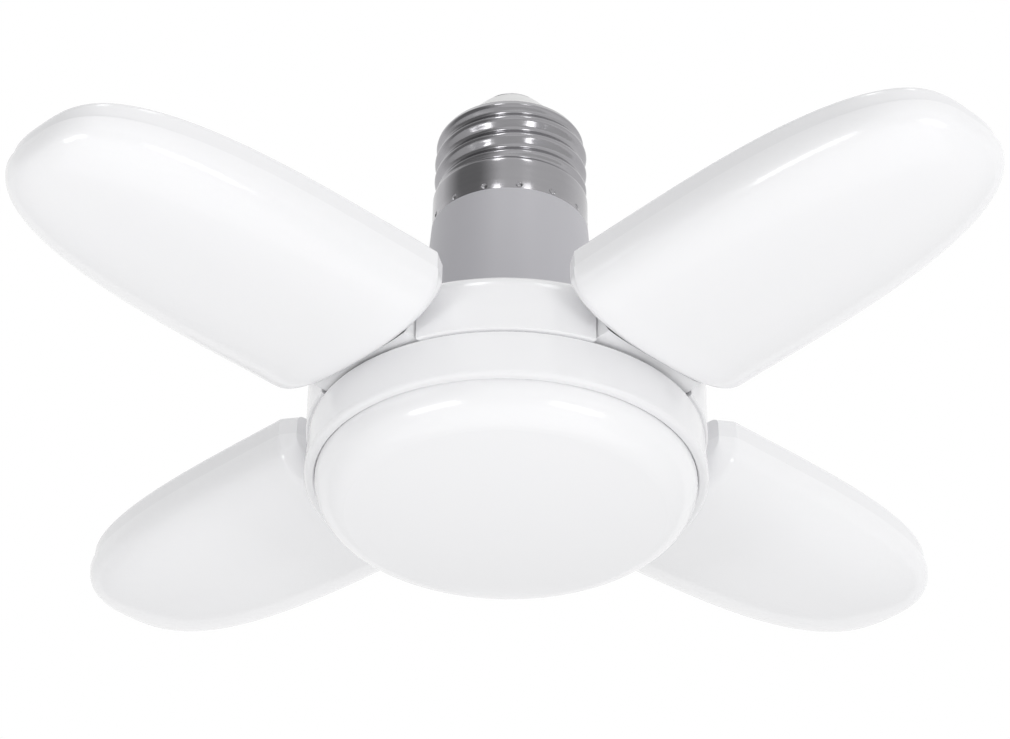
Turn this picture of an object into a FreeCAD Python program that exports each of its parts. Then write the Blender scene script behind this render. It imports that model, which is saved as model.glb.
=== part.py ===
import FreeCAD, Part
import math
import os
from FreeCAD import Vector

# Four-leaf folding lamp with a screw cap. Millimetres, +Z towards the cap's contact.
# The origin is on the lamp's axis, in the plane where the cap's skirt meets the neck.

# ---- screw cap ----
THREAD_PITCH = 25.4 / 7
THREAD_CREST_R = 13.1
THREAD_ROOT_R = 12.2
THREAD_FIRST_CREST_Z = 7.9
THREAD_FADE = 1.6
CAP_WALL = 0.45
SKIRT_R = 13.3
SKIRT_FLARE = 0.12
SKIRT_H = 6.8
SHELL_H = 19.5
SHELL_TOP_TURN_IN = 1.0
STAKE_COUNT = 14
STAKE_TURN = -83.0
STAKE_BALL_R = 0.7
STAKE_DEPTH = 0.28
STAKE_Z = 0.8
INSULATOR_H = 6.4
INSULATOR_SEAT_H = 2.0
INSULATOR_TOP_R = 5.6
INSULATOR_WALL = 2.3
INSULATOR_FIT = 0.06
CONTACT_R = 4.9
CONTACT_RIM_H = 0.8
CONTACT_DOME_H = 1.9
CONTACT_STEM_R = 1.2
CONTACT_CLINCH_R = 2.2
CONTACT_CLINCH_H = 0.5

# ---- neck ----
NECK_TOP_R = 13.42
NECK_FOOT_R = 15.7
NECK_LENGTH = 30.7
NECK_WALL = 1.8
NECK_SPIGOT_H = 6.2
NECK_SPIGOT_WALL = 1.5
NECK_SEAT_DEPTH = 0.8
NECK_SEAT_GAP = 0.15
SPIGOT_FIT = 0.06
NECK_BOSS_COUNT = 3
NECK_BOSS_CIRCLE_R = 10.9
NECK_BOSS_R = 2.4
NECK_BOSS_H = 8.5

# ---- hub ----
HUB_MARGIN = 7.0
HUB_COVER_H = 11.1
HUB_TOP_ROUND = 3.0
HUB_WALL = 2.2
HUB_WIRE_HOLE_R = 8.2
HUB_BASE_H = 8.5
HUB_BASE_TOP_IN = 0.5
HUB_BASE_EDGE_ROUND = 0.8
HUB_FLOOR_T = 2.0
HUB_BASE_STEP_IN = 2.8
HUB_BASE_WIRE_HOLE_R = 6.0
HUB_BOSS_COUNT = 4
HUB_BOSS_IN = 6.4
HUB_BOSS_R = 2.8
HUB_BOSS_H = 7.6

# ---- hinge ----
HINGE_R = 26.0
HINGE_DEPTH = 4.1
LUG_HALF_W = 10.7
LUG_SIDE_GAP = 0.3
LUG_BACK_GAP = 0.5
LUG_FLOOR_GAP = 0.35
LUG_KNEE_RUN = 2.0
LUG_REACH = 1.4
POCKET_WALL = 1.8
PIN_R = 1.6
PIN_BORE_R = 0.9
PIN_RUNNING_GAP = 0.05
BUSH_WALL = 0.75
BUSH_LENGTH = 6.7
LEAD_CHANNEL_R = 0.8

# ---- centre light ----
CENTRE_DIFFUSER_IN = 1.75
CENTRE_DIFFUSER_DEPTH = 8.5
CENTRE_DIFFUSER_SHOULDER_R = 6.2
CENTRE_DIFFUSER_WALL = 1.6
CENTRE_DIFFUSER_SKIRT_H = 3.5
CENTRE_DIFFUSER_GAP = 0.06
CENTRE_BOARD_R = 22.0
CENTRE_BOARD_T = 1.6
CENTRE_BOARD_HOLE_R = 2.6
CENTRE_BOARD_SCREWS = 3
CENTRE_BOARD_SCREW_CIRCLE_R = 12.6
CENTRE_BOARD_SCREW_TURN = 30.0
LED_RING_RADII = (8.0, 17.5)
LED_RING_COUNTS = (8, 16)

# ---- leaf ----
ROOT_SET_IN = 0.8
LEAF_LENGTH = 66.2
LEAF_HALF_W = 19.65
LEAF_TIP_START = 10.0
LEAF_TIP_POWER = 3.0
ROOT_CHAMFER_RUN = 2.66
ROOT_CHAMFER_IN = 1.7
TRAY_H = 3.6
TRAY_TOP_ROUND = 1.2
TRAY_TOP_WALL = 1.6
TRAY_SIDE_WALL = 2.0
DIFFUSER_OVERHANG = 1.0
DIFFUSER_DEPTH = 9.2
DIFFUSER_POWER = 2.57
DIFFUSER_ROOT_SHARE = 0.43
DIFFUSER_ROOT_ROUND = 3.4
DIFFUSER_WALL = 1.6
DIFFUSER_FLANGE_H = 1.2
DIFFUSER_LIP_H = 1.4
DIFFUSER_LIP_W = 1.2
DIFFUSER_LIP_GAP = 0.15
DIFFUSER_LUG_GAP = 0.15
LEAF_BOARD_T = 1.2
LEAF_BOARD_GAP = 0.4
LEAF_LED_ROWS = 3
LEAF_LED_COLUMNS = 8
LEAF_LED_ROW_SPACING = 8.4
LEAF_LED_FIRST = 9.0
LEAF_LED_TIP_MARGIN = 12.8
LEAF_SCREW_FIRST = 12.2
LEAF_SCREW_TIP_MARGIN = 16.0

# ---- leaves: azimuth about +Z, and how far each is raised from flat ----
LEAVES = (
    ("front_left", -135.0, 0.7),
    ("front_right", -45.0, 4.2),
    ("back_left", 135.0, 1.3),
    ("back_right", 45.0, 2.2),
)

# ---- driver, leads, fasteners and light chips ----
DRIVER_T = 1.6
DRIVER_HALF_W = 9.6
DRIVER_TOP_Z = 5.0
DRIVER_FOOT_H = 2.6
RAIL_DEPTH = 0.8
RAIL_CHEEK = 1.1
RAIL_GAP = 0.1
RAIL_TOP_Z = -1.5
CAPACITOR_R = 3.6
CAPACITOR_L = 13.0
CAPACITOR_Z = -16.0
TRANSFORMER_W = 9.6
TRANSFORMER_D = 6.4
TRANSFORMER_H = 9.0
TRANSFORMER_Z = -14.0
RECTIFIER_W = 4.6
RECTIFIER_D = 2.2
RECTIFIER_H = 4.0
RECTIFIER_Z = -3.0
LEAD_R = 0.6
HINGE_LEAD_OFFSET = 1.4
HINGE_LEAD_START = 8.5
HINGE_LEAD_TURN = 3.5
CAP_LEAD_R = 0.35
SCREW_R = 1.1
SCREW_HEAD_R = 2.0
SCREW_HEAD_H = 1.3
SCREW_HOLE_GAP = 0.15
LEAF_SCREW_R = 0.8
LEAF_SCREW_HEAD_R = 1.3
LEAF_SCREW_HEAD_H = 0.6
LEAF_SCREW_BITE = 1.1
LED_L = 3.5
LED_W = 2.8
LED_T = 0.7

# ---- levels and radii that follow from the sizes above ----
HUB_R = HINGE_R + HUB_MARGIN
HUB_BASE_TOP_R = HUB_R - HUB_BASE_TOP_IN
HUB_BASE_STEP_R = HUB_R - HUB_BASE_STEP_IN
HUB_BOSS_CIRCLE_R = HUB_R - HUB_BOSS_IN
CENTRE_DIFFUSER_R = HUB_R - CENTRE_DIFFUSER_IN
ROOT_R = HUB_R - ROOT_SET_IN
LEAF_LED_LAST = LEAF_LENGTH - LEAF_LED_TIP_MARGIN
LEAF_SCREW_STATIONS = (LEAF_SCREW_FIRST, LEAF_LENGTH - LEAF_SCREW_TIP_MARGIN)
HUB_TOP_Z = -NECK_LENGTH
LEDGE_Z = HUB_TOP_Z - HUB_COVER_H
HUB_RIM_Z = LEDGE_Z - HUB_BASE_H
HUB_FLOOR_Z = LEDGE_Z - HUB_FLOOR_T
NECK_FOOT_Z = HUB_TOP_Z - NECK_SEAT_DEPTH
HINGE_Z = HUB_TOP_Z - HINGE_DEPTH
LIP_Z = HUB_TOP_Z - TRAY_H
TRAY_CEILING_Z = HUB_TOP_Z - TRAY_TOP_WALL
LEAF_BOARD_Z = TRAY_CEILING_Z - LEAF_BOARD_T
POCKET_HALF_W = LUG_HALF_W + LUG_SIDE_GAP
POCKET_BACK_R = HINGE_R - HINGE_DEPTH - LUG_BACK_GAP
BUSH_INNER_R = PIN_R + PIN_RUNNING_GAP
BUSH_OUTER_R = BUSH_INNER_R + BUSH_WALL
LEAD_Z = HINGE_Z + 1.6
DRIVER_FOOT_Z = NECK_FOOT_Z + DRIVER_FOOT_H
CENTRE_BOARD_Z = HUB_FLOOR_Z - CENTRE_BOARD_T

Z_AXIS = Vector(0, 0, 1)


def cylinder(radius, low, high, x=0.0, y=0.0):
    """Upright cylinder between two levels."""
    return Part.makeCylinder(radius, high - low, Vector(x, y, low))


def bar(radius, start, end):
    """Round bar between two points."""
    run = end.sub(start)
    return Part.makeCylinder(radius, run.Length, start, run)


def block(x0, x1, y0, y1, z0, z1):
    """Box between two corners."""
    return Part.makeBox(x1 - x0, y1 - y0, z1 - z0, Vector(x0, y0, z0))


def turned(shape, degrees):
    """Copy of a shape turned about the lamp's axis."""
    copy = shape.copy()
    copy.rotate(Vector(0, 0, 0), Z_AXIS, degrees)
    return copy


def fused(shapes):
    """One solid from shapes that touch or overlap."""
    whole = shapes[0]
    if len(shapes) > 1:
        whole = whole.fuse(shapes[1:])
    return whole.removeSplitter()


def turned_solid(profile):
    """Solid of revolution about the lamp's axis from (radius, level) points."""
    points = [Vector(r, 0, z) for r, z in profile]
    wire = Part.makePolygon(points + [points[0]])
    return Part.Face(wire).revolve(Vector(0, 0, 0), Z_AXIS, 360)


def round_wire(points, radius):
    """Round lead along straight runs, with a ball at each bend."""
    runs = [bar(radius, a, b) for a, b in zip(points, points[1:])]
    balls = [Part.makeSphere(radius, p) for p in points[1:-1]]
    return fused(runs + balls)


def on_circle(count, radius, first=0.0):
    """Evenly spaced (x, y) points on a circle."""
    angles = [math.radians(first + 360.0 * i / count) for i in range(count)]
    return [(radius * math.cos(a), radius * math.sin(a)) for a in angles]


# ---------------------------------------------------------------- screw cap


def shell_profile():
    """Rows of the cap's wall: (radius, level, share of the thread's depth)."""
    mean = (THREAD_CREST_R + THREAD_ROOT_R) / 2
    rows = [
        (SKIRT_R + SKIRT_FLARE, 0.0, 0.0),
        (SKIRT_R + SKIRT_FLARE * 0.7, 0.4, 0.0),
        (SKIRT_R, 1.0, 0.0),
    ]
    rows += [(SKIRT_R, 1.0 + (SKIRT_H - 1.8) * k / 4, 0.0) for k in range(1, 5)]
    rows += [(SKIRT_R - 0.05, SKIRT_H - 0.35, 0.0), ((SKIRT_R + mean) / 2, SKIRT_H, 0.2)]
    low = SKIRT_H + 0.35
    high = SHELL_H - SHELL_TOP_TURN_IN
    count = int(math.ceil((high - low) / (THREAD_PITCH / 11)))
    for k in range(count + 1):
        z = low + (high - low) * k / count
        share = min(1.0, (z - SKIRT_H + 0.3) / THREAD_FADE, (high + 0.2 - z) / THREAD_FADE)
        rows.append((mean, z, max(0.0, share)))
    inset = THREAD_ROOT_R - 0.2
    rows.append((mean * 0.55 + inset * 0.45, high + SHELL_TOP_TURN_IN * 0.4, 0.0))
    rows.append((mean * 0.25 + inset * 0.75, high + SHELL_TOP_TURN_IN * 0.75, 0.0))
    rows.append((inset, SHELL_H, 0.0))
    return rows


def shell_skin(inward):
    """Closed spline skin of the threaded wall, moved inwards by a distance."""
    around = 36
    step = 2 * math.pi / around
    spread = 3 / (2 + math.cos(step))
    depth = (THREAD_CREST_R - THREAD_ROOT_R) / 2 * 1.08
    rows = shell_profile()
    poles = []
    for i in range(around):
        angle = i * step
        line = []
        for radius, z, share in rows:
            turns = (z - THREAD_FIRST_CREST_Z) / THREAD_PITCH
            phase = 2 * math.pi * turns - (angle + math.pi / 2)
            r = (radius - inward + depth * share * math.cos(phase)) * spread
            line.append(Vector(r * math.cos(angle), r * math.sin(angle), z))
        poles.append(line)
    spans = len(rows) - 3
    surface = Part.BSplineSurface()
    surface.buildFromPolesMultsKnots(
        poles,
        [1] * (around + 1),
        [4] + [1] * (spans - 1) + [4],
        [float(k) for k in range(around + 1)],
        [float(k) for k in range(spans + 1)],
        True,
        False,
        3,
        3,
    )
    return surface.toShape()


def end_edge(skin, z):
    """The skin's closed edge at one level."""
    return [e for e in skin.Edges if abs(e.BoundBox.ZMin - z) < 1e-4 and e.BoundBox.ZLength < 1e-4][0]


def screw_shell():
    """Rolled threaded shell with its plain skirt and ring of stake marks."""
    outer = shell_skin(0.0)
    inner = shell_skin(CAP_WALL)
    faces = [outer, inner]
    for z in (0.0, SHELL_H):
        rim = Part.Face(Part.Wire([end_edge(outer, z)]))
        hole = Part.Face(Part.Wire([end_edge(inner, z)]))
        faces.append(rim.cut(hole).Faces[0])
    shell = Part.makeShell(faces)
    shell.sewShape()
    solid = Part.Solid(Part.Shell(shell.Faces))
    if solid.Volume < 0:
        solid.reverse()
    reach = SKIRT_R + STAKE_BALL_R - STAKE_DEPTH
    marks = [Part.makeSphere(STAKE_BALL_R, Vector(x, y, STAKE_Z)) for x, y in on_circle(STAKE_COUNT, reach, STAKE_TURN)]
    return solid.cut(marks)


def shell_inner_r():
    """Smallest radius inside the shell, at its turned-in top edge."""
    return THREAD_ROOT_R - 0.2 - CAP_WALL


def cap_insulator():
    """Moulded cone that closes the shell and carries the centre contact."""
    seat_r = shell_inner_r() - INSULATOR_FIT
    top = SHELL_H + INSULATOR_H
    foot = SHELL_H - INSULATOR_SEAT_H
    hole = CONTACT_STEM_R
    profile = [
        (seat_r, foot),
        (seat_r, SHELL_H),
        (seat_r - 0.4, SHELL_H + 0.3),
        (INSULATOR_TOP_R + 0.3, top - 0.2),
        (INSULATOR_TOP_R, top),
        (hole, top),
        (hole, top - INSULATOR_WALL),
        (INSULATOR_TOP_R - 1.0, top - INSULATOR_WALL),
        (seat_r - INSULATOR_WALL, SHELL_H - 0.4),
        (seat_r - INSULATOR_WALL, foot),
    ]
    return turned_solid(profile)


def centre_contact():
    """Domed contact button, with a stem through the insulator and a clinched foot."""
    base = SHELL_H + INSULATOR_H
    rim = base + CONTACT_RIM_H
    bulge = (CONTACT_R ** 2 + CONTACT_DOME_H ** 2) / (2 * CONTACT_DOME_H)
    ball = Part.makeSphere(bulge, Vector(0, 0, rim + CONTACT_DOME_H - bulge))
    dome = ball.common(cylinder(CONTACT_R, rim, rim + CONTACT_DOME_H))
    foot = base - INSULATOR_WALL - CONTACT_CLINCH_H
    stem = cylinder(CONTACT_STEM_R, foot, base)
    clinch = cylinder(CONTACT_CLINCH_R, foot, foot + CONTACT_CLINCH_H)
    return fused([cylinder(CONTACT_R, base, rim), dome, stem, clinch])


# --------------------------------------------------------------------- neck


def neck_screw_places():
    """Centres of the screws that hold the neck to the hub."""
    return on_circle(NECK_BOSS_COUNT, NECK_BOSS_CIRCLE_R, 90)


def hub_screw_places():
    """Centres of the screws that hold the hub's two halves together."""
    return on_circle(HUB_BOSS_COUNT, HUB_BOSS_CIRCLE_R)


def neck_sleeve():
    """Tapered neck with a spigot for the cap, screw bosses and board rails."""
    spigot_r = SKIRT_R - CAP_WALL - SPIGOT_FIT
    outside = turned_solid([
        (0, NECK_FOOT_Z),
        (NECK_FOOT_R, NECK_FOOT_Z),
        (NECK_FOOT_R, HUB_TOP_Z),
        (NECK_TOP_R, 0),
        (spigot_r, 0),
        (spigot_r, NECK_SPIGOT_H),
        (0, NECK_SPIGOT_H),
    ])
    inside = turned_solid([
        (0, NECK_FOOT_Z),
        (NECK_FOOT_R - NECK_WALL, NECK_FOOT_Z),
        (NECK_FOOT_R - NECK_WALL, HUB_TOP_Z),
        (NECK_TOP_R - NECK_WALL - 0.4, 0),
        (spigot_r - NECK_SPIGOT_WALL, 0.4),
        (spigot_r - NECK_SPIGOT_WALL, NECK_SPIGOT_H),
        (0, NECK_SPIGOT_H),
    ])
    wall = outside.cut(inside)
    inner_x = DRIVER_HALF_W - RAIL_DEPTH
    cheek = DRIVER_T / 2 + RAIL_GAP + RAIL_CHEEK
    slot_x = DRIVER_HALF_W + RAIL_GAP
    slot_y = DRIVER_T / 2 + RAIL_GAP
    rails = []
    for side in (0, 180):
        rail = block(inner_x, NECK_FOOT_R, -cheek, cheek, DRIVER_FOOT_Z - 0.8, RAIL_TOP_Z)
        slot = block(0, slot_x, -slot_y, slot_y, DRIVER_FOOT_Z, RAIL_TOP_Z + 1)
        rails.append(turned(rail.cut(slot), side).common(outside))
    bosses = []
    for x, y in neck_screw_places():
        boss = cylinder(NECK_BOSS_R, NECK_FOOT_Z, NECK_FOOT_Z + NECK_BOSS_H, x, y)
        bosses.append(boss.common(outside))
    sleeve = fused([wall] + rails + bosses)
    pilots = [cylinder(SCREW_R, NECK_FOOT_Z - 1, NECK_FOOT_Z + 6.6, x, y) for x, y in neck_screw_places()]
    return sleeve.cut(pilots)


# ---------------------------------------------------------------------- hub


def hub_outside():
    """The hub cover's outer form, with its rounded top edge."""
    body = cylinder(HUB_R, LEDGE_Z, HUB_TOP_Z)
    top = [e for e in body.Edges if abs(e.BoundBox.ZMin - HUB_TOP_Z) < 1e-6 and e.BoundBox.ZLength < 1e-6]
    body = body.makeFillet(HUB_TOP_ROUND, top)
    foot = [e for e in body.Edges if abs(e.BoundBox.ZMax - LEDGE_Z) < 1e-6 and e.BoundBox.ZLength < 1e-6]
    return body.makeChamfer(0.25, foot)


def hub_cover():
    """Upper half of the hub: a shell with four hinge pockets and screw bosses."""
    outside = hub_outside()
    inner_r = HUB_R - HUB_WALL
    hollow = cylinder(inner_r, LEDGE_Z, HUB_TOP_Z - HUB_WALL)
    brim = [e for e in hollow.Edges if abs(e.BoundBox.ZMin - HUB_TOP_Z + HUB_WALL) < 1e-6]
    hollow = hollow.makeFillet(HUB_TOP_ROUND - 1.0, [e for e in brim if e.BoundBox.ZLength < 1e-6])
    cover = outside.cut(hollow)
    wall_half = POCKET_HALF_W + POCKET_WALL
    back = POCKET_BACK_R - POCKET_WALL
    cheeks = []
    voids = []
    for _, azimuth, _ in LEAVES:
        cheek = block(back, HUB_R, -wall_half, wall_half, LEDGE_Z, HUB_TOP_Z)
        cheeks.append(turned(cheek, azimuth).common(outside))
        void = block(POCKET_BACK_R, HUB_R + 5, -POCKET_HALF_W, POCKET_HALF_W, LEDGE_Z - 1, HUB_TOP_Z + 1)
        voids.append(turned(void, azimuth))
        reach = wall_half + 1
        axis = bar(PIN_R, Vector(HINGE_R, -reach, HINGE_Z), Vector(HINGE_R, reach, HINGE_Z))
        voids.append(turned(axis, azimuth))
    bosses = [cylinder(HUB_BOSS_R, LEDGE_Z, HUB_TOP_Z - HUB_WALL, x, y) for x, y in hub_screw_places()]
    cover = fused([cover] + cheeks + bosses)
    voids.append(cylinder(HUB_WIRE_HOLE_R, LEDGE_Z, HUB_TOP_Z + 1))
    voids.append(cylinder(NECK_FOOT_R + NECK_SEAT_GAP, NECK_FOOT_Z, HUB_TOP_Z + 1))
    for x, y in neck_screw_places():
        voids.append(cylinder(SCREW_R + SCREW_HOLE_GAP, LEDGE_Z, HUB_TOP_Z + 1, x, y))
    for x, y in hub_screw_places():
        voids.append(cylinder(SCREW_R, LEDGE_Z - 1, LEDGE_Z + HUB_BOSS_H, x, y))
    return cover.cut(voids)


def hub_base():
    """Lower half of the hub: a floor under the pockets and a ring round the centre light."""
    skirt_top = HUB_RIM_Z + CENTRE_DIFFUSER_SKIRT_H
    bore = CENTRE_DIFFUSER_R + CENTRE_DIFFUSER_GAP
    e = HUB_BASE_EDGE_ROUND
    rounding = []
    for k in range(7):
        a = math.radians(15 * k)
        rounding.append((HUB_R - e + e * math.cos(a), HUB_RIM_Z + e - e * math.sin(a)))
    profile = [(HUB_BASE_WIRE_HOLE_R, LEDGE_Z), (HUB_BASE_TOP_R - 0.3, LEDGE_Z), (HUB_BASE_TOP_R, LEDGE_Z - 0.3)]
    profile += rounding
    profile += [
        (bore + 0.25, HUB_RIM_Z),
        (bore, HUB_RIM_Z + 0.25),
        (bore, skirt_top),
        (HUB_BASE_STEP_R, skirt_top),
        (HUB_BASE_STEP_R, HUB_FLOOR_Z),
        (HUB_BASE_WIRE_HOLE_R, HUB_FLOOR_Z),
    ]
    base = turned_solid(profile)
    holes = [cylinder(SCREW_R + SCREW_HOLE_GAP, HUB_FLOOR_Z - 1, LEDGE_Z + 1, x, y) for x, y in hub_screw_places()]
    for x, y in centre_board_screw_places():
        holes.append(cylinder(SCREW_R, HUB_FLOOR_Z - 1, LEDGE_Z - 0.2, x, y))
    return base.cut(holes)


def hinge_pins():
    """Hollow steel pins, one through each pocket, pressed into the pocket's cheeks."""
    reach = POCKET_HALF_W + POCKET_WALL
    pins = []
    for _, azimuth, _ in LEAVES:
        pin = bar(PIN_R, Vector(HINGE_R, -reach, HINGE_Z), Vector(HINGE_R, reach, HINGE_Z))
        bore = bar(PIN_BORE_R, Vector(HINGE_R, -reach - 1, HINGE_Z), Vector(HINGE_R, reach + 1, HINGE_Z))
        window = bar(PIN_BORE_R, Vector(HINGE_R, 0, HINGE_Z), Vector(HINGE_R + 3, 0, HINGE_Z))
        pins.append(turned(pin.cut([bore, window]), azimuth))
    return Part.makeCompound(pins)


def screw(shank_r, head_r, head_h, x, y, seat_z, tip_z):
    """Pan-head screw driven upwards, with a cross recess in its head."""
    direction = 1 if tip_z > seat_z else -1
    head = Part.makeCylinder(head_r, head_h, Vector(x, y, seat_z), Vector(0, 0, -direction))
    far = seat_z - direction * head_h
    edge = [e for e in head.Edges if abs(e.BoundBox.ZMin - far) < 1e-6 and e.BoundBox.ZLength < 1e-6]
    head = head.makeFillet(head_h * 0.45, edge)
    shank = bar(shank_r, Vector(x, y, seat_z), Vector(x, y, tip_z))
    arm = head_r * 0.6
    depth = head_h * 0.5
    low, high = sorted((far - direction * 0.1, far + direction * depth))
    slot = head_r * 0.14
    cross = [block(x - arm, x + arm, y - slot, y + slot, low, high)]
    cross.append(block(x - slot, x + slot, y - arm, y + arm, low, high))
    return fused([head, shank]).cut(cross)


def neck_screws():
    """Screws up through the hub's top into the neck's bosses."""
    seat = HUB_TOP_Z - HUB_WALL
    tip = NECK_FOOT_Z + 6.0
    places = neck_screw_places()
    return Part.makeCompound([screw(SCREW_R, SCREW_HEAD_R, SCREW_HEAD_H, x, y, seat, tip) for x, y in places])


def hub_screws():
    """Screws up through the hub base into the cover's bosses."""
    tip = LEDGE_Z + HUB_BOSS_H - 0.8
    places = hub_screw_places()
    screws = [screw(SCREW_R, SCREW_HEAD_R, SCREW_HEAD_H, x, y, HUB_FLOOR_Z, tip) for x, y in places]
    return Part.makeCompound(screws)


# ------------------------------------------------------------- centre light


def centre_board_screw_places():
    """Centres of the screws that hold the centre board."""
    return on_circle(CENTRE_BOARD_SCREWS, CENTRE_BOARD_SCREW_CIRCLE_R, CENTRE_BOARD_SCREW_TURN)


def centre_led_board():
    """Round metal-core board under the hub's floor."""
    board = cylinder(CENTRE_BOARD_R, CENTRE_BOARD_Z, HUB_FLOOR_Z)
    holes = [cylinder(CENTRE_BOARD_HOLE_R, CENTRE_BOARD_Z - 1, HUB_FLOOR_Z + 1)]
    for x, y in centre_board_screw_places():
        holes.append(cylinder(SCREW_R + SCREW_HOLE_GAP, CENTRE_BOARD_Z - 1, HUB_FLOOR_Z + 1, x, y))
    return board.cut(holes)


def centre_board_screws():
    """Screws that hold the centre board to the hub's floor."""
    tip = LEDGE_Z - 0.5
    places = centre_board_screw_places()
    screws = [screw(SCREW_R, SCREW_HEAD_R, SCREW_HEAD_H, x, y, CENTRE_BOARD_Z, tip) for x, y in places]
    return Part.makeCompound(screws)


def led(x, y, top):
    """Light chip whose upper face is soldered at a level."""
    return block(x - LED_L / 2, x + LED_L / 2, y - LED_W / 2, y + LED_W / 2, top - LED_T, top)


def centre_leds():
    """Two rings of light chips on the centre board."""
    chips = []
    for radius, count in zip(LED_RING_RADII, LED_RING_COUNTS):
        for k in range(count):
            chips.append(turned(led(radius, 0, CENTRE_BOARD_Z), 360.0 * (k + 0.5) / count))
    return Part.makeCompound(chips)


def dome_arcs(radius, depth, shoulder_r, base_z):
    """Shoulder and crown arcs from the rim of a round dome to its lowest point."""
    run = radius - shoulder_r
    crown_r = (run ** 2 + depth ** 2 - shoulder_r ** 2) / (2 * (depth - shoulder_r))
    meet = math.atan2(crown_r - depth, run)
    middle = math.pi / 4 + meet / 2

    def on_shoulder(angle):
        return Vector(run + shoulder_r * math.cos(angle), 0, base_z - shoulder_r * math.sin(angle))

    def on_crown(angle):
        return Vector(crown_r * math.cos(angle), 0, base_z - depth + crown_r - crown_r * math.sin(angle))

    shoulder = Part.Arc(on_shoulder(0.0), on_shoulder(meet / 2), on_shoulder(meet))
    crown = Part.Arc(on_crown(meet), on_crown(middle), Vector(0, 0, base_z - depth))
    return [shoulder.toShape(), crown.toShape()]


def centre_diffuser():
    """Round opal dome with a skirt that stands inside the hub base's ring."""
    skirt_top = HUB_RIM_Z + CENTRE_DIFFUSER_SKIRT_H
    solids = []
    for inset in (0.0, CENTRE_DIFFUSER_WALL):
        radius = CENTRE_DIFFUSER_R - inset
        depth = CENTRE_DIFFUSER_DEPTH - inset
        arcs = dome_arcs(radius, depth, CENTRE_DIFFUSER_SHOULDER_R - inset, HUB_RIM_Z)
        low = HUB_RIM_Z - depth
        corners = [Vector(0, 0, low), Vector(0, 0, skirt_top)]
        corners += [Vector(radius, 0, skirt_top), Vector(radius, 0, HUB_RIM_Z)]
        sides = [Part.makeLine(a, b) for a, b in zip(corners, corners[1:])]
        outline = Part.Wire(Part.sortEdges(arcs + sides)[0])
        solids.append(Part.Face(outline).revolve(Vector(0, 0, 0), Z_AXIS, 360))
    return solids[0].cut(solids[1])


# --------------------------------------------------------------------- leaf
# Each leaf is built along +X with its back level, then raised and turned to its place.


def tip_station(t, length):
    """Distance out and width share at one angle round the leaf's end."""
    share = 2 / LEAF_TIP_POWER
    out = LEAF_TIP_START + (length - LEAF_TIP_START) * math.sin(t) ** share
    return out, max(math.cos(t), 0.0) ** share


def leaf_outline(inset, length=LEAF_LENGTH):
    """Wire of the leaf's plan form at level zero, drawn in by an inset."""
    half = LEAF_HALF_W - inset
    root_x = ROOT_R + inset
    run = ROOT_CHAMFER_RUN
    narrow = half - ROOT_CHAMFER_IN
    side_x = ROOT_R + LEAF_TIP_START
    points = []
    count = 14
    for k in range(count + 1):
        out, share = tip_station(math.pi / 2 * k / count, length - inset)
        points.append(Vector(ROOT_R + out, half * share, 0))
    points += [Vector(p.x, -p.y, 0) for p in reversed(points[:-1])]
    curve = Part.BSplineCurve()
    curve.interpolate(Points=points, InitialTangent=Vector(1, 0, 0), FinalTangent=Vector(-1, 0, 0))
    corners = [
        Vector(side_x, -half, 0),
        Vector(root_x + run, -half, 0),
        Vector(root_x, -narrow, 0),
        Vector(root_x, narrow, 0),
        Vector(root_x + run, half, 0),
        Vector(side_x, half, 0),
    ]
    sides = [Part.makeLine(a, b) for a, b in zip(corners, corners[1:])]
    return Part.Wire([curve.toShape()] + sides)


def leaf_slab(inset, low, high, length=LEAF_LENGTH):
    """Slab of the leaf's plan form between two levels."""
    face = Part.Face(leaf_outline(inset, length))
    face.translate(Vector(0, 0, low))
    return face.extrude(Vector(0, 0, high - low))


def leaf_ring(outer_inset, inner_inset, low, high, outer_length=LEAF_LENGTH):
    """Ring between two drawn-in plan forms and two levels."""
    face = Part.Face(leaf_outline(outer_inset, outer_length)).cut(Part.Face(leaf_outline(inner_inset)))
    face.translate(Vector(0, 0, low))
    return face.extrude(Vector(0, 0, high - low))


def corner_cut(out):
    """How far the leaf's side stands in from its full width, near the root's corners."""
    return ROOT_CHAMFER_IN * max(0.0, 1 - out / ROOT_CHAMFER_RUN)


def spacing(rows):
    """Running distance from row to row, averaged along the rows."""
    places = [0.0]
    for a, b in zip(rows, rows[1:]):
        step = sum(p.distanceToPoint(q) for p, q in zip(a, b)) / len(a)
        places.append(places[-1] + step)
    return places


def spline_through(points, places):
    """Spline curve that reaches each point at its own parameter."""
    curve = Part.BSplineCurve()
    curve.interpolate(Points=points, Parameters=places)
    return curve


def spline_skin(grid):
    """Smooth face through a grid of points, exact along its four sides."""
    across = spacing([list(column) for column in zip(*grid)])
    along = spacing(grid)
    rows = [spline_through(row, across) for row in grid]
    columns = [spline_through(list(line), along) for line in zip(*[row.getPoles() for row in rows])]
    net = [list(line) for line in zip(*[column.getPoles() for column in columns])]
    surface = Part.BSplineSurface()
    surface.buildFromPolesMultsKnots(
        net,
        columns[0].getMultiplicities(),
        rows[0].getMultiplicities(),
        columns[0].getKnots(),
        rows[0].getKnots(),
        False,
        False,
        columns[0].Degree,
        rows[0].Degree,
    )
    return surface.toShape()


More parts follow.
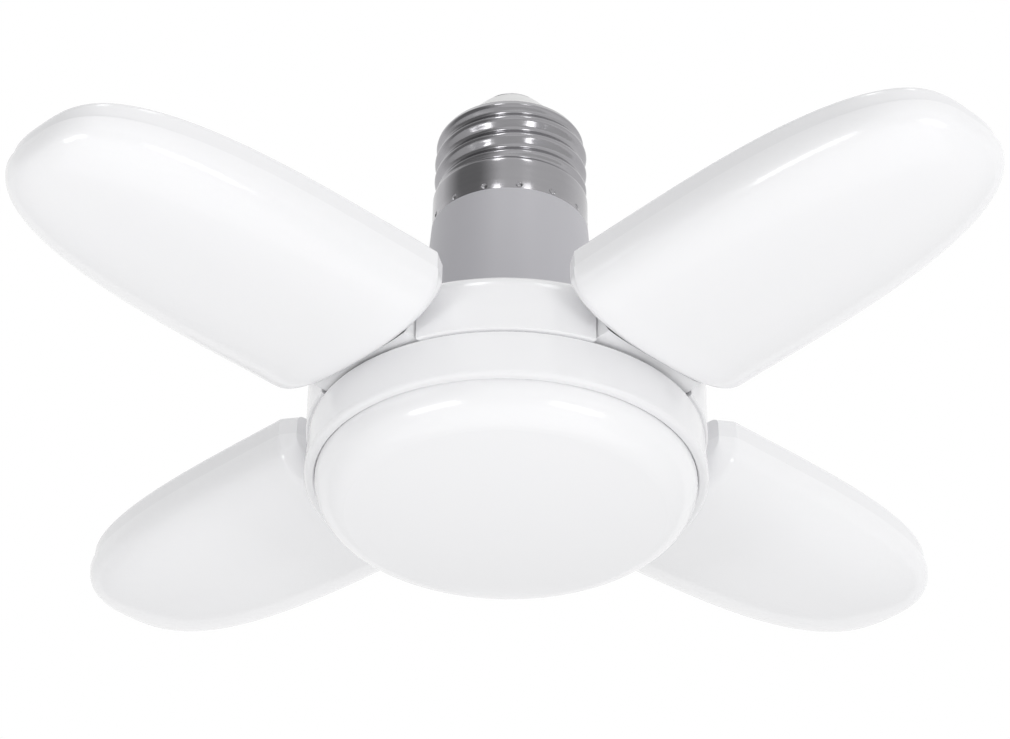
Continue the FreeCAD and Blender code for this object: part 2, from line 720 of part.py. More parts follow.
def leaf_dome(inset):
    """Solid under the lip plane: flat at the root, domed across and to the tip."""
    half = LEAF_HALF_W - inset
    depth = DIFFUSER_DEPTH - inset
    length = LEAF_LENGTH + DIFFUSER_OVERHANG - inset
    root_depth = DIFFUSER_DEPTH * DIFFUSER_ROOT_SHARE - inset
    stations = []
    for k in range(7):
        a = math.radians(15 * k)
        out = DIFFUSER_ROOT_ROUND * (1 - math.cos(a))
        drop = root_depth + (depth - root_depth) * math.sin(a)
        stations.append((inset + out, half - corner_cut(out), drop))
    middle = (inset + DIFFUSER_ROOT_ROUND + LEAF_TIP_START) / 2
    stations.append((middle, half, depth))
    for degrees in (0, 10, 20, 30, 40, 50, 59, 67, 74, 80, 85, 87.4):
        out, share = tip_station(math.radians(degrees), length)
        stations.append((out, half * share, depth * share))
    grid = []
    count = 20
    power = 2 / DIFFUSER_POWER
    for out, width, drop in stations:
        row = []
        for k in range(count + 1):
            a = math.pi * k / count
            c = math.cos(a)
            y = math.copysign(abs(c) ** power, c) * width
            z = -drop * max(math.sin(a), 0.0) ** power
            if k in (0, count):
                z = 0.0
            row.append(Vector(ROOT_R + out, y, LIP_Z + z))
        grid.append(row)
    skin = spline_skin(grid)
    closing = []
    for row, x in ((grid[0], grid[0][0].x), (grid[-1], grid[-1][0].x)):
        arc = [e for e in skin.Edges if abs(e.BoundBox.XMin - x) < 1e-4 and e.BoundBox.XLength < 1e-4][0]
        closing.append(Part.Face(Part.Wire([arc, Part.makeLine(row[0], row[-1])])))
    rims = [e for e in skin.Edges if e.BoundBox.XLength > LEAF_LENGTH / 2]
    chords = [Part.makeLine(row[0], row[-1]) for row in (grid[0], grid[-1])]
    closing.append(Part.Face(Part.Wire(Part.sortEdges(rims + chords)[0])))
    shell = Part.makeShell([skin] + closing)
    shell.sewShape()
    solid = Part.Solid(Part.Shell(shell.Faces))
    if solid.Volume < 0:
        solid.reverse()
    return solid


def leaf_lug():
    """Hinge lug: a round knuckle about the pin, carried on the tray's root end."""
    knuckle = bar(HINGE_DEPTH, Vector(HINGE_R, -LUG_HALF_W, HINGE_Z), Vector(HINGE_R, LUG_HALF_W, HINGE_Z))
    low = LEDGE_Z + LUG_FLOOR_GAP
    root = ROOT_R + LUG_REACH
    side = [
        (HINGE_R, HUB_TOP_Z),
        (root, HUB_TOP_Z),
        (root, low),
        (HINGE_R + LUG_KNEE_RUN, low),
        (HINGE_R, HINGE_Z - HINGE_DEPTH),
    ]
    points = [Vector(x, -LUG_HALF_W, z) for x, z in side]
    arm = Part.Face(Part.makePolygon(points + [points[0]])).extrude(Vector(0, 2 * LUG_HALF_W, 0))
    return fused([knuckle, arm])


def leaf_tray():
    """Opaque back of a leaf: a shallow channel with the hinge lug at its root."""
    slab = leaf_slab(0.0, LIP_Z, HUB_TOP_Z)
    top = [e for e in slab.Edges if e.BoundBox.ZMin > HUB_TOP_Z - 1e-4]
    slab = slab.makeFillet(TRAY_TOP_ROUND, [e for e in top if e.BoundBox.XMax > ROOT_R + 0.1])
    hollow = leaf_slab(TRAY_SIDE_WALL, LIP_Z - 1, TRAY_CEILING_Z)
    lug = leaf_lug().cut(leaf_dome(-DIFFUSER_LUG_GAP))
    reach = LUG_HALF_W + 1
    inside = block(ROOT_R, ROOT_R + LUG_REACH + 1, -reach, reach, LIP_Z, HUB_TOP_Z + 1)
    tray = fused([slab, lug.cut(inside)])
    cuts = [hollow]
    cuts.append(bar(BUSH_OUTER_R, Vector(HINGE_R, -reach, HINGE_Z), Vector(HINGE_R, reach, HINGE_Z)))
    end_x = ROOT_R + TRAY_SIDE_WALL + 1
    cuts.append(bar(LEAD_CHANNEL_R, Vector(HINGE_R, 0, LEAD_Z), Vector(end_x, 0, LEAD_Z)))
    for x in LEAF_SCREW_STATIONS:
        cuts.append(cylinder(LEAF_SCREW_R, TRAY_CEILING_Z - 1, TRAY_CEILING_Z + LEAF_SCREW_BITE + 0.1, ROOT_R + x, 0))
    return tray.cut(cuts)


def leaf_diffuser():
    """Opal cover of a leaf, with a flange against the lip and a spigot inside the tray."""
    shell = leaf_dome(0.0).cut(leaf_dome(DIFFUSER_WALL))
    spigot_out = TRAY_SIDE_WALL + DIFFUSER_LIP_GAP
    spigot_in = spigot_out + DIFFUSER_LIP_W
    full = LEAF_LENGTH + DIFFUSER_OVERHANG
    ledge = leaf_ring(DIFFUSER_WALL * 0.7, spigot_in, LIP_Z - DIFFUSER_FLANGE_H, LIP_Z, full)
    spigot = leaf_ring(spigot_out, spigot_in, LIP_Z, LIP_Z + DIFFUSER_LIP_H)
    notch_x = ROOT_R + DIFFUSER_WALL
    notch = block(notch_x, ROOT_R + spigot_in + 1, -4, 4, LIP_Z - DIFFUSER_FLANGE_H - 1, LIP_Z + DIFFUSER_LIP_H + 1)
    return fused([shell, ledge.cut(notch), spigot.cut(notch)])


def leaf_led_board():
    """Metal-core board against the tray's ceiling."""
    inset = TRAY_SIDE_WALL + DIFFUSER_LIP_GAP + DIFFUSER_LIP_W + LEAF_BOARD_GAP
    board = leaf_slab(inset, LEAF_BOARD_Z, TRAY_CEILING_Z)
    hole_r = LEAF_SCREW_R + SCREW_HOLE_GAP
    holes = [cylinder(hole_r, LEAF_BOARD_Z - 1, TRAY_CEILING_Z + 1, ROOT_R + x, 0) for x in LEAF_SCREW_STATIONS]
    return board.cut(holes)


def leaf_leds():
    """Rows of light chips on the leaf's board."""
    chips = []
    for row in range(LEAF_LED_ROWS):
        y = (row - (LEAF_LED_ROWS - 1) / 2) * LEAF_LED_ROW_SPACING
        for column in range(LEAF_LED_COLUMNS):
            x = LEAF_LED_FIRST + (LEAF_LED_LAST - LEAF_LED_FIRST) * column / (LEAF_LED_COLUMNS - 1)
            chips.append(led(ROOT_R + x, y, LEAF_BOARD_Z))
    return Part.makeCompound(chips)


def leaf_screws():
    """Screws that hold the leaf's board to its tray."""
    tip = TRAY_CEILING_Z + LEAF_SCREW_BITE
    return Part.makeCompound([
        screw(LEAF_SCREW_R, LEAF_SCREW_HEAD_R, LEAF_SCREW_HEAD_H, ROOT_R + x, 0, LEAF_BOARD_Z, tip)
        for x in LEAF_SCREW_STATIONS
    ])


def leaf_bushes():
    """Two split bushes in the lug that grip the pin and hold the leaf at its angle."""
    bushes = []
    for side in (-1, 1):
        outer_end = Vector(HINGE_R, side * LUG_HALF_W, HINGE_Z)
        inner_end = Vector(HINGE_R, side * (LUG_HALF_W - BUSH_LENGTH), HINGE_Z)
        past_outer = Vector(HINGE_R, side * (LUG_HALF_W + 1), HINGE_Z)
        past_inner = Vector(HINGE_R, side * (LUG_HALF_W - BUSH_LENGTH - 1), HINGE_Z)
        sleeve = bar(BUSH_OUTER_R, inner_end, outer_end).cut(bar(BUSH_INNER_R, past_inner, past_outer))
        low, high = sorted((past_inner.y, past_outer.y))
        split = block(HINGE_R - 0.25, HINGE_R + 0.25, low, high, HINGE_Z - BUSH_OUTER_R - 1, HINGE_Z)
        bushes.append(sleeve.cut(split))
    return Part.makeCompound(bushes)


def leaf_lead():
    """Lead from the hinge through the lug to the underside of the board."""
    inset = TRAY_SIDE_WALL + DIFFUSER_LIP_GAP + DIFFUSER_LIP_W + LEAF_BOARD_GAP
    low_z = LEAF_BOARD_Z - LEAD_R
    points = [
        Vector(HINGE_R + BUSH_OUTER_R + 0.2, 0, LEAD_Z),
        Vector(ROOT_R + TRAY_SIDE_WALL + 0.1, 0, LEAD_Z),
        Vector(ROOT_R + inset - 0.6, 0, low_z),
        Vector(ROOT_R + inset + 1.6, 0, low_z),
    ]
    return round_wire(points, LEAD_R)


def placed(shape, azimuth, raise_angle):
    """Leaf piece raised about its hinge and turned to its azimuth."""
    copy = shape.copy()
    copy.rotate(Vector(HINGE_R, 0, HINGE_Z), Vector(0, -1, 0), raise_angle)
    return turned(copy, azimuth)


# --------------------------------------------------------- driver and leads


def driver_board():
    """Upright circuit board held in the neck's rails."""
    half = DRIVER_T / 2
    return block(-DRIVER_HALF_W, DRIVER_HALF_W, -half, half, DRIVER_FOOT_Z, DRIVER_TOP_Z)


def driver_capacitor():
    """Smoothing capacitor lying against the board's back."""
    y = DRIVER_T / 2 + CAPACITOR_R
    low = CAPACITOR_Z - CAPACITOR_L / 2
    can = cylinder(CAPACITOR_R, low, low + CAPACITOR_L, 0, y)
    return can.makeFillet(0.5, [e for e in can.Edges if e.BoundBox.ZLength < 1e-6])


def driver_transformer():
    """Wound transformer on the board's front: a core with a bobbin through it."""
    y = -DRIVER_T / 2
    w = TRANSFORMER_W / 2
    h = TRANSFORMER_H / 2
    core = block(-w, w, y - TRANSFORMER_D, y, TRANSFORMER_Z - h, TRANSFORMER_Z + h)
    window = block(-w + 1.6, w - 1.6, y - TRANSFORMER_D - 1, y + 1, TRANSFORMER_Z - h + 1.6, TRANSFORMER_Z + h - 1.6)
    middle = y - TRANSFORMER_D / 2
    winding = bar(
        TRANSFORMER_D / 2 - 0.3,
        Vector(0, middle, TRANSFORMER_Z - h + 1.0),
        Vector(0, middle, TRANSFORMER_Z + h - 1.0),
    )
    return fused([core.cut(window), winding])


def driver_rectifier():
    """Small bridge rectifier near the board's top."""
    half = RECTIFIER_W / 2
    y = -DRIVER_T / 2
    return block(-half, half, y - RECTIFIER_D, y, RECTIFIER_Z - RECTIFIER_H / 2, RECTIFIER_Z + RECTIFIER_H / 2)


def live_lead():
    """Lead from the board to the centre contact's clinched foot."""
    foot = SHELL_H + INSULATOR_H - INSULATOR_WALL - CONTACT_CLINCH_H
    y = DRIVER_T / 2 + CAP_LEAD_R
    points = [
        Vector(0, y, DRIVER_TOP_Z - 3),
        Vector(0, y, DRIVER_TOP_Z + 4),
        Vector(0, 0, DRIVER_TOP_Z + 8),
        Vector(0, 0, foot),
    ]
    return round_wire(points, CAP_LEAD_R)


def neutral_lead():
    """Lead from the board over the neck's spigot to the shell's inside."""
    y = DRIVER_T / 2 + CAP_LEAD_R
    z = NECK_SPIGOT_H + CAP_LEAD_R
    inner_r = (THREAD_CREST_R + THREAD_ROOT_R) / 2 - CAP_WALL - SPIGOT_FIT
    wall = math.sqrt(inner_r ** 2 - y ** 2)
    points = [
        Vector(-6, y, DRIVER_TOP_Z - 3),
        Vector(-6, y, z),
        Vector(-wall, y, z),
    ]
    return round_wire(points, CAP_LEAD_R)


def centre_leads():
    """Pair of leads from the driver down to the centre board."""
    y = DRIVER_T / 2 + LEAD_R
    wires = []
    for x in (-1.2, 1.2):
        points = [
            Vector(x, -y, DRIVER_FOOT_Z + 2),
            Vector(x, -y, HUB_TOP_Z - 4),
            Vector(x * 3, -y, HUB_FLOOR_Z + LEAD_R),
        ]
        wires.append(round_wire(points, LEAD_R))
    return Part.makeCompound(wires)


def hinge_leads():
    """Lead to each hinge, from the hub's middle round the pocket and into the pin."""
    low = LEDGE_Z + LEAD_R
    around = POCKET_HALF_W + POCKET_WALL + HINGE_LEAD_OFFSET
    wires = []
    for _, azimuth, _ in LEAVES:
        points = [
            Vector(POCKET_BACK_R - POCKET_WALL - HINGE_LEAD_START, -2, low),
            Vector(POCKET_BACK_R - POCKET_WALL - HINGE_LEAD_TURN, -around, low),
            Vector(HINGE_R - 3, -around, low),
            Vector(HINGE_R, -around, HINGE_Z),
            Vector(HINGE_R, -0.4, HINGE_Z),
        ]
        wires.append(turned(round_wire(points, LEAD_R), azimuth))
    return Part.makeCompound(wires)


FIXED_PARTS = {
    "screw_shell": screw_shell,
    "cap_insulator": cap_insulator,
    "centre_contact": centre_contact,
    "neck_sleeve": neck_sleeve,
    "neck_screws": neck_screws,
    "hub_cover": hub_cover,
    "hub_base": hub_base,
    "hub_screws": hub_screws,
    "hinge_pins": hinge_pins,
    "centre_diffuser": centre_diffuser,
    "centre_led_board": centre_led_board,
    "centre_leds": centre_leds,
    "centre_board_screws": centre_board_screws,
    "driver_board": driver_board,
    "driver_capacitor": driver_capacitor,
    "driver_transformer": driver_transformer,
    "driver_rectifier": driver_rectifier,
    "live_lead": live_lead,
    "neutral_lead": neutral_lead,
    "centre_leads": centre_leads,
    "hinge_leads": hinge_leads,
}

LEAF_PARTS = {
    "tray": leaf_tray,
    "diffuser": leaf_diffuser,
    "led_board": leaf_led_board,
    "leds": leaf_leds,
    "board_screws": leaf_screws,
    "hinge_bushes": leaf_bushes,
    "lead": leaf_lead,
}


def main():
    """Build every piece and write one file for each."""
    os.makedirs("parts", exist_ok=True)
    for name, build in FIXED_PARTS.items():
        build().exportStep("parts/" + name + ".step")
    for piece, build in LEAF_PARTS.items():
        shape = build()
        for leaf, azimuth, raise_angle in LEAVES:
            placed(shape, azimuth, raise_angle).exportStep("parts/" + leaf + "_" + piece + ".step")


main()
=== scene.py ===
"""Folding four-leaf garage light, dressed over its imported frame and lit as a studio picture."""

import logging
import math
from dataclasses import dataclass, field
from enum import Enum
from typing import Optional, Union

import bpy
from mathutils import Matrix, Vector

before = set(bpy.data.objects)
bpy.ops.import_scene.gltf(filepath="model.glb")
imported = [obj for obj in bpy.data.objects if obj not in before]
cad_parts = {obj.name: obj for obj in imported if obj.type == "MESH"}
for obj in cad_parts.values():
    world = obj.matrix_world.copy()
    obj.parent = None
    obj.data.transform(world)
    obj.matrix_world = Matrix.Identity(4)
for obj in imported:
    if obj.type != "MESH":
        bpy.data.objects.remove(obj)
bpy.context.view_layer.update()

LOG = logging.getLogger("garage_light")
MM = 0.001
GENERATED = 0
OBJECT = 3
MIX_COLOURS = {"fac": 0, "low": 6, "high": 7, "result": 2}
NOISE_ROUGHNESS = 0.55
MID = 0.5
Number = Union[int, float]
Value = Union["Wire", Number]
Axes = tuple[float, float, float]
Stops = tuple[tuple[float, float], ...]
EVEN: Axes = (1.0, 1.0, 1.0)


class Mode(Enum):
    """How a metal was worked, as the stretch of its marks along X, Y and Z."""

    PRESSED = (1.0, 1.0, 1.0)
    ROLLED = (1.0, 1.0, 14.0)
    DRAWN = (12.0, 12.0, 1.0)


class Leaf(Enum):
    """The four leaves, each with the start of its nodes' names."""

    FRONT_LEFT = "front_left"
    FRONT_RIGHT = "front_right"
    BACK_LEFT = "back_left"
    BACK_RIGHT = "back_right"


@dataclass(frozen=True)
class Wire:
    """One output socket of a material, so that shader maths reads as arithmetic."""

    tree: bpy.types.NodeTree
    socket: bpy.types.NodeSocket

    def _join(self, operation: str, first: Value, second: Value) -> "Wire":
        """Add one Math node.

        Args:
            operation: The node's operation.
            first: First value or wire.
            second: Second value or wire.

        Returns:
            The node's result.
        """
        made = self.tree.nodes.new("ShaderNodeMath")
        made.operation = operation
        for slot, value in zip(made.inputs, (first, second)):
            if isinstance(value, Wire):
                self.tree.links.new(value.socket, slot)
            else:
                slot.default_value = value
        return Wire(self.tree, made.outputs[0])

    def __add__(self, other: Value) -> "Wire":
        """Sum."""
        return self._join("ADD", self, other)

    def __radd__(self, other: Value) -> "Wire":
        """Sum with a number first."""
        return self._join("ADD", other, self)

    def __sub__(self, other: Value) -> "Wire":
        """Difference."""
        return self._join("SUBTRACT", self, other)

    def __rsub__(self, other: Value) -> "Wire":
        """Difference from a number."""
        return self._join("SUBTRACT", other, self)

    def __mul__(self, other: Value) -> "Wire":
        """Product."""
        return self._join("MULTIPLY", self, other)

    def __rmul__(self, other: Value) -> "Wire":
        """Product with a number first."""
        return self._join("MULTIPLY", other, self)


class Graph:
    """Node tree of a material or a world, with one maker for its nodes."""

    def __init__(self, tree: bpy.types.NodeTree) -> None:
        """Start with a tree.

        Args:
            tree: The tree that takes the nodes.
        """
        self.tree = tree

    def node(
        self,
        kind: str,
        settings: Optional[dict] = None,
        inputs: Optional[dict] = None,
        out: Union[int, str] = 0,
    ) -> Wire:
        """Add any node.

        Args:
            kind: The node's type.
            settings: Attributes that are set first. "stops" holds a ramp's stops.
            inputs: Values or wires for sockets, by name or index.
            out: Which output to return.

        Returns:
            The chosen output.
        """
        made = self.tree.nodes.new(kind)
        for key, value in (settings or {}).items():
            if key == "stops":
                self._stops(made.color_ramp, value)
            else:
                setattr(made, key, value)
        for key, value in (inputs or {}).items():
            slot = made.inputs[key]
            if isinstance(value, Wire):
                self.tree.links.new(value.socket, slot)
            else:
                slot.default_value = value
        return Wire(self.tree, made.outputs[out])

    @staticmethod
    def _stops(ramp: bpy.types.ColorRamp, stops: Stops) -> None:
        """Set a grey ramp's stops.

        Args:
            ramp: The ramp.
            stops: Two pairs of position and grey level.
        """
        for element, (place, grey) in zip(ramp.elements, stops):
            element.position = place
            element.color = (grey, grey, grey, 1.0)

    def point(self, stretch: Axes = EVEN) -> Wire:
        """Place on the object, stretched along its axes.

        Args:
            stretch: Scale along X, Y and Z.

        Returns:
            The place as a vector.
        """
        place = self.node("ShaderNodeTexCoord", out=OBJECT)
        return self.node("ShaderNodeMapping", inputs={"Vector": place, "Scale": stretch})

    def noise(self, scale: float, detail: float = 3.0, stretch: Axes = EVEN) -> Wire:
        """Soft noise over the surface.

        Args:
            scale: Cells per metre.
            detail: Octaves.
            stretch: Scale along X, Y and Z.

        Returns:
            The noise, about 0.5.
        """
        inputs = {"Vector": self.point(stretch), "Scale": scale, "Detail": detail}
        inputs["Roughness"] = NOISE_ROUGHNESS
        return self.node("ShaderNodeTexNoise", inputs=inputs)

    def ramp(self, value: Wire, stops: Stops) -> Wire:
        """Grey level that follows a value through stops.

        Args:
            value: Place along the ramp.
            stops: Two pairs of position and grey level.

        Returns:
            The grey level.
        """
        return self.node("ShaderNodeValToRGB", {"stops": stops}, {"Fac": value})

    def tint(self, mask: Wire, low: Axes, high: Axes) -> Wire:
        """Colour between two colours.

        Args:
            mask: Where the second colour shows.
            low: Colour at 0.
            high: Colour at 1.

        Returns:
            The mixed colour.
        """
        pin = MIX_COLOURS
        inputs = {pin["fac"]: mask, pin["low"]: (*low, 1.0), pin["high"]: (*high, 1.0)}
        return self.node("ShaderNodeMix", {"data_type": "RGBA"}, inputs, out=pin["result"])


class Paint(Graph):
    """A material under construction, with its main shader."""

    def __init__(self, name: str) -> None:
        """Start a material.

        Args:
            name: The material's name.
        """
        self.material = bpy.data.materials.new(name)
        self.material.use_nodes = True
        super().__init__(self.material.node_tree)
        self.shader = next(n for n in self.tree.nodes if n.type == "BSDF_PRINCIPLED")

    def bump(self, height: Wire, distance: float, strength: float) -> None:
        """Raise the surface's grain.

        Args:
            height: The relief.
            distance: Its depth in metres.
            strength: Share of it that shows.
        """
        inputs = {"Height": height, "Distance": distance, "Strength": strength}
        self.feed("Normal", self.node("ShaderNodeBump", inputs=inputs))

    def feed(self, name: str, value: Union[Wire, Number, tuple]) -> None:
        """Set or link one of the shader's sockets.

        Args:
            name: The socket.
            value: A constant or a wire.
        """
        slot = self.shader.inputs[name]
        if isinstance(value, Wire):
            self.tree.links.new(value.socket, slot)
        else:
            slot.default_value = value


@dataclass(frozen=True)
class Plastic:
    """Moulded plastic with a faint skin and a fine, uneven gloss."""

    name: str
    colour: Axes
    shade: Axes
    rough: float = 0.2
    spread: float = 0.06
    coat: float = 0.0
    coat_rough: float = 0.08
    ior: float = 1.49
    cloud_scale: float = 28.0
    skin_scale: float = 260.0
    skin_detail: float = 2.0
    skin_depth: float = 0.00001
    skin_strength: float = 0.5

    def make(self) -> bpy.types.Material:
        """Build the finish.

        Returns:
            The material.
        """
        paint = Paint(self.name)
        clouds = paint.noise(self.cloud_scale)
        skin = paint.noise(self.skin_scale, self.skin_detail)
        paint.feed("Base Color", paint.tint(clouds, self.shade, self.colour))
        paint.feed("Roughness", self.rough + (clouds - MID) * self.spread)
        paint.feed("Coat Weight", self.coat)
        paint.feed("Coat Roughness", self.coat_rough)
        paint.feed("IOR", self.ior)
        paint.bump(skin, self.skin_depth, self.skin_strength)
        return paint.material


@dataclass(frozen=True)
class Metal:
    """Plated or plain metal with marks that run the way it was worked."""

    name: str
    colour: Axes
    dull: Axes
    rough: float
    mode: Mode = Mode.ROLLED
    spread: float = 0.12
    streak_scale: float = 90.0
    streak_detail: float = 4.0
    streak_share: float = 0.4
    cloud_scale: float = 55.0
    depth: float = 0.00002
    strength: float = 0.35

    def make(self) -> bpy.types.Material:
        """Build the finish.

        Returns:
            The material.
        """
        paint = Paint(self.name)
        streaks = paint.noise(self.streak_scale, self.streak_detail, self.mode.value)
        clouds = paint.noise(self.cloud_scale)
        marks = clouds * (1.0 - self.streak_share) + streaks * self.streak_share
        paint.feed("Metallic", 1.0)
        paint.feed("Base Color", paint.tint(marks, self.dull, self.colour))
        paint.feed("Roughness", self.rough + (streaks - MID) * self.spread)
        paint.bump(streaks, self.depth, self.strength)
        return paint.material


@dataclass(frozen=True)
class Board:
    """Circuit board with solder mask and fine tracks."""

    name: str
    mask: Axes
    track: Axes
    cells: float = 210.0
    track_stops: Stops = ((0.46, 0.0), (0.52, 1.0))
    rough: float = 0.38
    spread: float = 0.1
    depth: float = 0.00003
    strength: float = 0.6

    def make(self) -> bpy.types.Material:
        """Build the finish.

        Returns:
            The material.
        """
        paint = Paint(self.name)
        cells = paint.node(
            "ShaderNodeTexVoronoi",
            {"distance": "CHEBYCHEV", "feature": "F1"},
            {"Vector": paint.point(), "Scale": self.cells},
        )
        lines = paint.ramp(cells, self.track_stops)
        paint.feed("Base Color", paint.tint(lines, self.mask, self.track))
        paint.feed("Roughness", self.rough + (cells - MID) * self.spread)
        paint.bump(lines, self.depth, self.strength)
        return paint.material


WHITE = Plastic("gloss_white_plastic", (0.86, 0.86, 0.87), (0.84, 0.84, 0.855), coat=0.25)
OPAL = Plastic(
    "opal_diffuser_plastic", (0.9, 0.9, 0.91), (0.885, 0.885, 0.9), rough=0.16, coat=0.4, skin_depth=0.000006
)
NECK = Plastic("satin_grey_plastic", (0.53, 0.525, 0.555), (0.5, 0.495, 0.525), rough=0.42, spread=0.05)
INSULATOR = Plastic("insulator_plastic", (0.78, 0.78, 0.78), (0.7, 0.7, 0.7), rough=0.35)
NICKEL = Metal("rolled_nickel", (0.42, 0.415, 0.43), (0.32, 0.315, 0.33), 0.17)
CONTACT = Metal("tinned_contact", (0.62, 0.62, 0.63), (0.5, 0.5, 0.51), 0.38, Mode.PRESSED)
STEEL = Metal("zinc_steel", (0.6, 0.6, 0.62), (0.5, 0.5, 0.52), 0.3, Mode.DRAWN)
BRASS = Metal("bush_brass", (0.75, 0.58, 0.3), (0.62, 0.47, 0.24), 0.28, Mode.DRAWN)
LIGHT_BOARD = Board("white_light_board", (0.82, 0.82, 0.81), (0.74, 0.74, 0.73))
DRIVER_BOARD = Board("green_driver_board", (0.03, 0.16, 0.07), (0.06, 0.26, 0.12))
PHOSPHOR = Plastic("light_chip_phosphor", (0.88, 0.74, 0.24), (0.82, 0.66, 0.2), rough=0.4)
SLEEVE = Plastic("black_sleeve", (0.03, 0.03, 0.035), (0.02, 0.02, 0.024), rough=0.3)
FERRITE = Plastic("ferrite_and_tape", (0.09, 0.085, 0.08), (0.06, 0.056, 0.052), rough=0.55)
RED_LEAD = Plastic("red_lead", (0.5, 0.03, 0.025), (0.4, 0.025, 0.02), rough=0.45)
BLACK_LEAD = Plastic("black_lead", (0.035, 0.035, 0.037), (0.025, 0.025, 0.027), rough=0.45)


class Wardrobe:
    """Makes each finish once and puts it on nodes."""

    def __init__(self) -> None:
        """Start with nothing made."""
        self.made: dict[str, bpy.types.Material] = {}

    def take(self, finish: Union[Plastic, Metal, Board]) -> bpy.types.Material:
        """Fetch a finish's material.

        Args:
            finish: The finish.

        Returns:
            Its material.
        """
        if finish.name not in self.made:
            self.made[finish.name] = finish.make()
        return self.made[finish.name]

    def dress(self, node: str, finish: Union[Plastic, Metal, Board]) -> None:
        """Give a CAD node its finish.

        Args:
            node: The node's name.
            finish: The finish.
        """
        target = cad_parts[node]
        if not target.material_slots:
            target.data.materials.append(self.take(finish))
        for slot in target.material_slots:
            slot.material = self.take(finish)
        LOG.info("dressed %s in %s", node, finish.name)


@dataclass
class ScrewCap:
    """Threaded shell, insulator and centre contact."""

    wardrobe: Wardrobe

    def build(self) -> None:
        """Dress the cap's nodes."""
        self.wardrobe.dress("screw_shell", NICKEL)
        self.wardrobe.dress("cap_insulator", INSULATOR)
        self.wardrobe.dress("centre_contact", CONTACT)


@dataclass
class Neck:
    """Grey neck and the driver inside it."""

    wardrobe: Wardrobe

    def build(self) -> None:
        """Dress the neck, its screws and the driver."""
        finishes = {
            "neck_sleeve": NECK,
            "neck_screws": STEEL,
            "driver_board": DRIVER_BOARD,
            "driver_capacitor": SLEEVE,
            "driver_transformer": FERRITE,
            "driver_rectifier": SLEEVE,
            "live_lead": RED_LEAD,
            "neutral_lead": BLACK_LEAD,
        }
        for node, finish in finishes.items():
            self.wardrobe.dress(node, finish)


@dataclass
class Hub:
    """Two-part hub with its hinge pins and the centre light."""

    wardrobe: Wardrobe

    def build(self) -> None:
        """Dress the hub and the centre light."""
        finishes = {
            "hub_cover": WHITE,
            "hub_base": WHITE,
            "hub_screws": STEEL,
            "hinge_pins": STEEL,
            "centre_diffuser": OPAL,
            "centre_led_board": LIGHT_BOARD,
            "centre_leds": PHOSPHOR,
            "centre_board_screws": STEEL,
            "centre_leads": RED_LEAD,
            "hinge_leads": BLACK_LEAD,
        }
        for node, finish in finishes.items():
            self.wardrobe.dress(node, finish)


@dataclass
class LeafPanel:
    """One hinged leaf: tray, diffuser and what they hold."""

    wardrobe: Wardrobe
    leaf: Leaf

    def build(self) -> None:
        """Dress the leaf's nodes."""
        finishes = {
            "tray": WHITE,
            "diffuser": OPAL,
            "led_board": LIGHT_BOARD,
            "leds": PHOSPHOR,
            "board_screws": STEEL,
            "hinge_bushes": BRASS,
            "lead": BLACK_LEAD,
        }
        for piece, finish in finishes.items():
            self.wardrobe.dress(f"{self.leaf.value}_{piece}", finish)


@dataclass
class PhotoCamera:
    """Camera at the photograph's place, found from the lamp's outlines, in mm, degrees and pixels."""

    distance: float = 571.2
    elevation: float = 33.47
    azimuth: float = -0.76
    roll: float = 0.87
    focal_px: float = 3429.7
    target: tuple[float, float] = (-0.465, -27.75)
    frame_px: int = 1010
    sensor: float = 36.0
    near_clip: float = 0.01

    def build(self) -> None:
        """Create the camera and make it the scene's."""
        e, a, roll = (math.radians(v) for v in (self.elevation, self.azimuth, self.roll))
        ahead = Vector((math.sin(a) * math.cos(e), math.cos(a) * math.cos(e), math.sin(e)))
        right = Vector((math.cos(a), -math.sin(a), 0.0))
        up = right.cross(ahead)
        turned_right = right * math.cos(roll) + up * math.sin(roll)
        turned_up = up * math.cos(roll) - right * math.sin(roll)
        aim = Vector((self.target[0] * math.cos(a), -self.target[0] * math.sin(a), self.target[1]))
        place = (aim - ahead * self.distance) * MM
        data = bpy.data.cameras.new("photo_camera")
        data.sensor_fit = "HORIZONTAL"
        data.sensor_width = self.sensor
        data.lens = self.focal_px * self.sensor / self.frame_px
        data.clip_start = self.near_clip
        camera = bpy.data.objects.new("photo_camera", data)
        camera.matrix_world = Matrix((
            (turned_right.x, turned_up.x, -ahead.x, place.x),
            (turned_right.y, turned_up.y, -ahead.y, place.y),
            (turned_right.z, turned_up.z, -ahead.z, place.z),
            (0.0, 0.0, 0.0, 1.0),
        ))
        bpy.context.scene.collection.objects.link(camera)
        bpy.context.scene.camera = camera


@dataclass(frozen=True)
class SoftBox:
    """One rectangular studio lamp, aimed at the object."""

    name: str
    place: Axes
    size: tuple[float, float]
    power: float
    aim: Axes = (0.0, 0.0, -0.03)

    def build(self) -> None:
        """Create the lamp."""
        data = bpy.data.lights.new(self.name, "AREA")
        data.shape = "RECTANGLE"
        data.size, data.size_y = self.size
        data.energy = self.power
        lamp = bpy.data.objects.new(self.name, data)
        lamp.location = self.place
        direction = Vector(self.aim) - Vector(self.place)
        lamp.rotation_euler = direction.to_track_quat("-Z", "Y").to_euler()
        lamp.visible_camera = False
        bpy.context.scene.collection.objects.link(lamp)


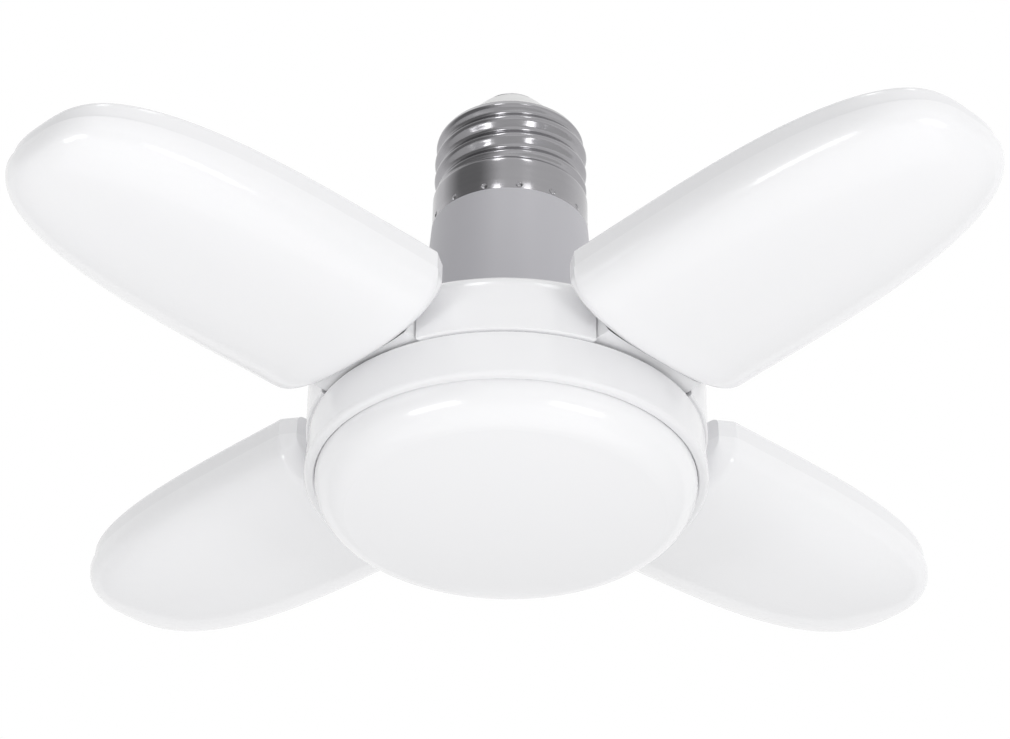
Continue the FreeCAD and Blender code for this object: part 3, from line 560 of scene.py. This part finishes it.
@dataclass
class Studio:
    """White backdrop light, a pale floor well below the lamp, and soft boxes, in metres."""

    floor_z: float = -0.8
    floor_half: float = 4.0
    floor_patches: float = 3.0
    floor_rough: float = 0.8
    floor_low: Axes = (0.86, 0.86, 0.86)
    floor_high: Axes = (0.88, 0.88, 0.88)
    room: float = 0.85
    flag: float = 0.7
    over_stops: Stops = ((0.5, 0.0), (0.62, 1.0))
    ahead_stops: Stops = ((0.45, 1.0), (0.7, 0.0))
    left_stops: Stops = ((0.22, 1.0), (0.42, 0.0))
    level_stops: Stops = ((0.22, 0.0), (0.32, 1.0))
    boxes: tuple[SoftBox, ...] = field(default_factory=lambda: (
        SoftBox("box_front_left", (-0.38, -0.42, -0.32), (0.3, 0.12), 0.6),
        SoftBox("box_front_right", (0.38, -0.42, -0.32), (0.3, 0.12), 0.6),
        SoftBox("box_high_left", (-0.16, -0.42, 0.62), (0.1, 0.26), 0.45),
        SoftBox("box_high_right", (0.22, -0.42, 0.62), (0.1, 0.26), 0.3),
        SoftBox("box_low", (0.0, -0.1, -0.75), (1.3, 1.3), 1.4),
    ))

    def build(self) -> None:
        """Set up the world, the floor and the lamps."""
        bpy.context.scene.view_settings.view_transform = "Standard"
        self._world()
        self._floor()
        for box in self.boxes:
            box.build()

    def _world(self) -> None:
        """White backdrop for the camera; other rays also meet a dimmer room and a dark flag at the left."""
        world = bpy.data.worlds.new("studio")
        bpy.context.scene.world = world
        world.use_nodes = True
        graph = Graph(world.node_tree)
        way = graph.node("ShaderNodeTexCoord", out=GENERATED)
        side, depth, height = (graph.node("ShaderNodeSeparateXYZ", inputs={0: way}, out=k) for k in range(3))
        over = graph.ramp(height * MID + MID, self.over_stops)
        ahead = graph.ramp(depth * MID + MID, self.ahead_stops)
        left = graph.ramp(side * MID + MID, self.left_stops)
        level_with = graph.ramp(height * MID + MID, self.level_stops)
        unseen = 1.0 - graph.node("ShaderNodeLightPath", out="Is Camera Ray")
        open_level = 1.0 - (1.0 - self.room) * over * ahead
        flag_level = 1.0 - self.flag * left * level_with * ahead
        level = 1.0 - (1.0 - open_level * flag_level) * unseen
        back = graph.tree.nodes["Background"]
        graph.tree.links.new(level.socket, back.inputs["Strength"])
        back.inputs["Color"].default_value = (1.0, 1.0, 1.0, 1.0)

    def _floor(self) -> None:
        """Plain pale floor."""
        half = self.floor_half
        square = ((-half, -half), (half, -half), (half, half), (-half, half))
        corners = [(x, y, self.floor_z) for x, y in square]
        mesh = bpy.data.meshes.new("floor")
        mesh.from_pydata(corners, [], [(0, 1, 2, 3)])
        floor = bpy.data.objects.new("floor", mesh)
        bpy.context.scene.collection.objects.link(floor)
        paint = Paint("pale_floor")
        patches = paint.noise(self.floor_patches)
        paint.feed("Base Color", paint.tint(patches, self.floor_low, self.floor_high))
        paint.feed("Roughness", self.floor_rough)
        mesh.materials.append(paint.material)


def main() -> None:
    """Build the lamp's dressing, the camera and the studio."""
    logging.basicConfig(level=logging.INFO, format="%(message)s")
    PhotoCamera().build()
    wardrobe = Wardrobe()
    ScrewCap(wardrobe).build()
    Neck(wardrobe).build()
    Hub(wardrobe).build()
    for leaf in Leaf:
        LeafPanel(wardrobe, leaf).build()
    Studio().build()


if __name__ == "__main__":
    main()
